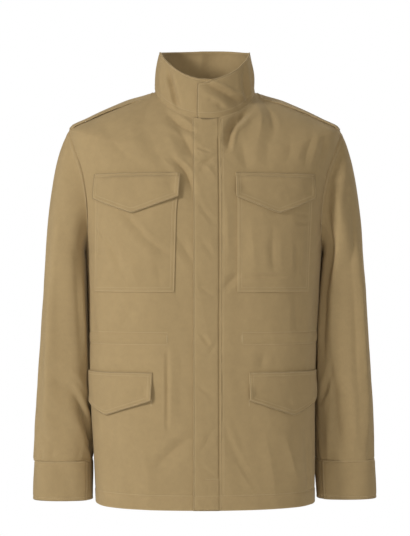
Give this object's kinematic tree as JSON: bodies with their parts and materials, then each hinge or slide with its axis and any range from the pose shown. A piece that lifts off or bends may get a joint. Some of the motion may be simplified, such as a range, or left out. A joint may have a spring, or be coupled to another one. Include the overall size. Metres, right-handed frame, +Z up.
{
  "type": "field jacket",
  "caption": "Hip-length field jacket with a tall stand collar, a fly front, flapped chest and hip pockets, shoulder straps and lapped cuffs, filled out as worn.",
  "frame": {"origin": "the middle of the neck, level with the tops of the shoulder seams, where the wearer's neck and shoulders hold the jacket up", "axes": "+Z up, from the hem to the collar; the front faces -Y; the wearer's left is +X"},
  "size_m": [0.6004, 0.2745, 0.7941],
  "materials": {
    "twill": "matt khaki cotton twill",
    "twill_doubled": "two layers of the same matt khaki cotton twill, edge stitched"
  },
  "bodies": {
    "root": {"back": "twill", "front_right": "twill", "front_left": "twill", "sleeve_right": "twill", "sleeve_left": "twill", "cuff_right": "twill_doubled", "cuff_left": "twill_doubled", "collar": "twill_doubled", "placket": "twill_doubled", "chest_pocket_right": "twill", "chest_pocket_left": "twill", "chest_flap_right": "twill_doubled", "chest_flap_left": "twill_doubled", "hip_flap_right": "twill_doubled", "hip_flap_left": "twill_doubled", "epaulette_right": "twill_doubled", "epaulette_left": "twill_doubled"}
  },
  "joints": []
}
